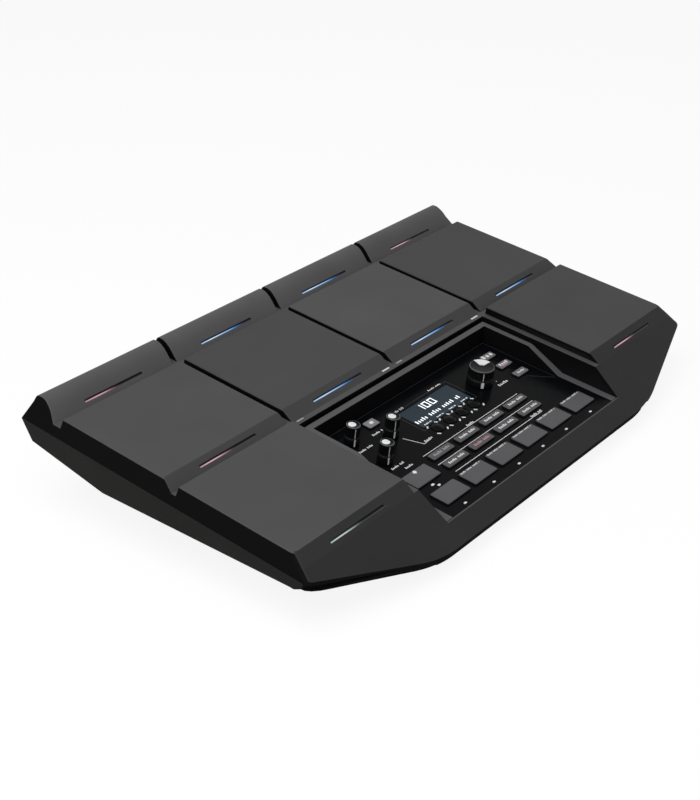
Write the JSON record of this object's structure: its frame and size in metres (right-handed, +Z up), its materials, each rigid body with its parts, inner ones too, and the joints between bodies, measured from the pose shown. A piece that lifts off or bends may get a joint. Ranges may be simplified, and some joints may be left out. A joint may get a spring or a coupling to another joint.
{
  "type": "sampling percussion pad",
  "caption": "Table-top sampling percussion pad: rubber striking pads with light slits, rounded rear bars, and a sunken control panel with display, knobs and keys.",
  "frame": {"origin": "on the table, under the middle of the bounding box", "axes": "+X to the player's right, +Y to the rear, +Z up"},
  "size_m": [0.39, 0.2344, 0.0702],
  "materials": {
    "pad_rubber": "matt moulded rubber",
    "case_black": "fine matt moulded plastic",
    "case_dark": "fine matt moulded plastic",
    "foot_rubber": "matt rubber",
    "screw_steel": "zinc plated",
    "plate_steel": "plain sheet",
    "foam": "closed-cell foam",
    "disc_brass": "plain",
    "light_lens": "frosted light guide",
    "panel_gloss": "glossy",
    "rim_grey": "fine matt moulded plastic",
    "window": "smoked clear plastic",
    "module_dark": "glass display module",
    "board_green": "solder mask",
    "switch_black": "moulded plastic",
    "knob_black": "semi-gloss",
    "key_grey": "matt silicone keys",
    "key_black": "glossy dome keys"
  },
  "bodies": {
    "case": {"top_case": "case_black", "bottom_case": "case_dark", "rubber_feet": "foot_rubber", "case_screws": "screw_steel", "rear_pad_1": "pad_rubber", "rear_pad_2": "pad_rubber", "rear_pad_3": "pad_rubber", "rear_pad_4": "pad_rubber", "main_pad_1": "pad_rubber", "main_pad_2": "pad_rubber", "main_pad_3": "pad_rubber", "main_pad_4": "pad_rubber", "front_pad_left": "pad_rubber", "front_pad_right": "pad_rubber", "pad_plates": "plate_steel", "pad_foams": "foam", "sensor_discs": "disc_brass", "light_bars": "light_lens", "control_panel": "panel_gloss", "panel_rim": "rim_grey", "display_window": "window", "display_module": "module_dark", "panel_board": "board_green", "push_switches": "switch_black", "pot_bodies": "plate_steel", "encoder_body": "plate_steel", "main_board": "board_green", "jack_sockets": "switch_black", "dc_inlet": "switch_black", "usb_port": "plate_steel", "power_switch": "switch_black"},
    "square_button_1": {"square_button_1": "key_grey"},
    "square_button_2": {"square_button_2": "key_grey"},
    "square_button_3": {"square_button_3": "key_grey"},
    "square_button_4": {"square_button_4": "key_grey"},
    "square_button_5": {"square_button_5": "key_grey"},
    "square_button_6": {"square_button_6": "key_grey"},
    "square_button_7": {"square_button_7": "key_grey"},
    "row_button_1": {"row_button_1": "key_grey"},
    "row_button_2": {"row_button_2": "key_grey"},
    "row_button_3": {"row_button_3": "key_grey"},
    "row_button_4": {"row_button_4": "key_grey"},
    "row_button_5": {"row_button_5": "key_grey"},
    "row_button_6": {"row_button_6": "key_grey"},
    "row_button_7": {"row_button_7": "key_grey"},
    "row_button_8": {"row_button_8": "key_grey"},
    "menu_button_1": {"menu_button_1": "key_grey"},
    "menu_button_2": {"menu_button_2": "key_grey"},
    "menu_button_3": {"menu_button_3": "key_grey"},
    "small_key": {"small_key": "key_grey"},
    "soft_key_1": {"soft_key_1": "key_black"},
    "soft_key_2": {"soft_key_2": "key_black"},
    "soft_key_3": {"soft_key_3": "key_black"},
    "soft_key_4": {"soft_key_4": "key_black"},
    "knob_1": {"knob_1": "knob_black"},
    "knob_2": {"knob_2": "knob_black"},
    "knob_3": {"knob_3": "knob_black"},
    "encoder_knob": {"encoder_knob": "knob_black"},
    "power_button": {"power_button": "knob_black"}
  },
  "joints": [
    {"name": "square_button_1_press", "type": "slide", "parent": "case", "child": "square_button_1", "axis": [0, 0.1219, -0.9925], "range_m": [0, 0.0008], "stiffness_N_per_m": 1800},
    {"name": "square_button_2_press", "type": "slide", "parent": "case", "child": "square_button_2", "axis": [0, 0.1219, -0.9925], "range_m": [0, 0.0008], "stiffness_N_per_m": 1800},
    {"name": "square_button_3_press", "type": "slide", "parent": "case", "child": "square_button_3", "axis": [0, 0.1219, -0.9925], "range_m": [0, 0.0008], "stiffness_N_per_m": 1800},
    {"name": "square_button_4_press", "type": "slide", "parent": "case", "child": "square_button_4", "axis": [0, 0.1219, -0.9925], "range_m": [0, 0.0008], "stiffness_N_per_m": 1800},
    {"name": "square_button_5_press", "type": "slide", "parent": "case", "child": "square_button_5", "axis": [0, 0.1219, -0.9925], "range_m": [0, 0.0008], "stiffness_N_per_m": 1800},
    {"name": "square_button_6_press", "type": "slide", "parent": "case", "child": "square_button_6", "axis": [0, 0.1219, -0.9925], "range_m": [0, 0.0008], "stiffness_N_per_m": 1800},
    {"name": "square_button_7_press", "type": "slide", "parent": "case", "child": "square_button_7", "axis": [0, 0.1219, -0.9925], "range_m": [0, 0.0008], "stiffness_N_per_m": 1800},
    {"name": "row_button_1_press", "type": "slide", "parent": "case", "child": "row_button_1", "axis": [0, 0.1219, -0.9925], "range_m": [0, 0.0008], "stiffness_N_per_m": 1800},
    {"name": "row_button_2_press", "type": "slide", "parent": "case", "child": "row_button_2", "axis": [0, 0.1219, -0.9925], "range_m": [0, 0.0008], "stiffness_N_per_m": 1800},
    {"name": "row_button_3_press", "type": "slide", "parent": "case", "child": "row_button_3", "axis": [0, 0.1219, -0.9925], "range_m": [0, 0.0008], "stiffness_N_per_m": 1800},
    {"name": "row_button_4_press", "type": "slide", "parent": "case", "child": "row_button_4", "axis": [0, 0.1219, -0.9925], "range_m": [0, 0.0008], "stiffness_N_per_m": 1800},
    {"name": "row_button_5_press", "type": "slide", "parent": "case", "child": "row_button_5", "axis": [0, 0.1219, -0.9925], "range_m": [0, 0.0008], "stiffness_N_per_m": 1800},
    {"name": "row_button_6_press", "type": "slide", "parent": "case", "child": "row_button_6", "axis": [0, 0.1219, -0.9925], "range_m": [0, 0.0008], "stiffness_N_per_m": 1800},
    {"name": "row_button_7_press", "type": "slide", "parent": "case", "child": "row_button_7", "axis": [0, 0.1219, -0.9925], "range_m": [0, 0.0008], "stiffness_N_per_m": 1800},
    {"name": "row_button_8_press", "type": "slide", "parent": "case", "child": "row_button_8", "axis": [0, 0.1219, -0.9925], "range_m": [0, 0.0008], "stiffness_N_per_m": 1800},
    {"name": "menu_button_1_press", "type": "slide", "parent": "case", "child": "menu_button_1", "axis": [0, 0.1219, -0.9925], "range_m": [0, 0.0008], "stiffness_N_per_m": 1800},
    {"name": "menu_button_2_press", "type": "slide", "parent": "case", "child": "menu_button_2", "axis": [0, 0.1219, -0.9925], "range_m": [0, 0.0008], "stiffness_N_per_m": 1800},
    {"name": "menu_button_3_press", "type": "slide", "parent": "case", "child": "menu_button_3", "axis": [0, 0.1219, -0.9925], "range_m": [0, 0.0008], "stiffness_N_per_m": 1800},
    {"name": "small_key_press", "type": "slide", "parent": "case", "child": "small_key", "axis": [0, 0.1219, -0.9925], "range_m": [0, 0.0008], "stiffness_N_per_m": 1800},
    {"name": "soft_key_1_press", "type": "slide", "parent": "case", "child": "soft_key_1", "axis": [0, 0.1219, -0.9925], "range_m": [0, 0.0008], "stiffness_N_per_m": 1800},
    {"name": "soft_key_2_press", "type": "slide", "parent": "case", "child": "soft_key_2", "axis": [0, 0.1219, -0.9925], "range_m": [0, 0.0008], "stiffness_N_per_m": 1800},
    {"name": "soft_key_3_press", "type": "slide", "parent": "case", "child": "soft_key_3", "axis": [0, 0.1219, -0.9925], "range_m": [0, 0.0008], "stiffness_N_per_m": 1800},
    {"name": "soft_key_4_press", "type": "slide", "parent": "case", "child": "soft_key_4", "axis": [0, 0.1219, -0.9925], "range_m": [0, 0.0008], "stiffness_N_per_m": 1800},
    {"name": "knob_1_turn", "type": "hinge", "parent": "case", "child": "knob_1", "pos_m": [-0.07, -0.02247, 0.03112], "axis": [0, -0.1219, 0.9925], "range_deg": [-300, 0]},
    {"name": "knob_2_turn", "type": "hinge", "parent": "case", "child": "knob_2", "pos_m": [-0.07, -0.04669, 0.02814], "axis": [0, -0.1219, 0.9925], "range_deg": [-300, 0]},
    {"name": "knob_3_turn", "type": "hinge", "parent": "case", "child": "knob_3", "pos_m": [-0.046, -0.03299, 0.02983], "axis": [0, -0.1219, 0.9925], "range_deg": [-300, 0]},
    {"name": "encoder_knob_turn", "type": "hinge", "parent": "case", "child": "encoder_knob", "pos_m": [0.0422, -0.03567, 0.0295], "axis": [0, -0.1219, 0.9925], "continuous": true},
    {"name": "power_button_press", "type": "slide", "parent": "case", "child": "power_button", "axis": [0, -1, 0], "range_m": [0, 0.0015], "stiffness_N_per_m": 1500}
  ]
}
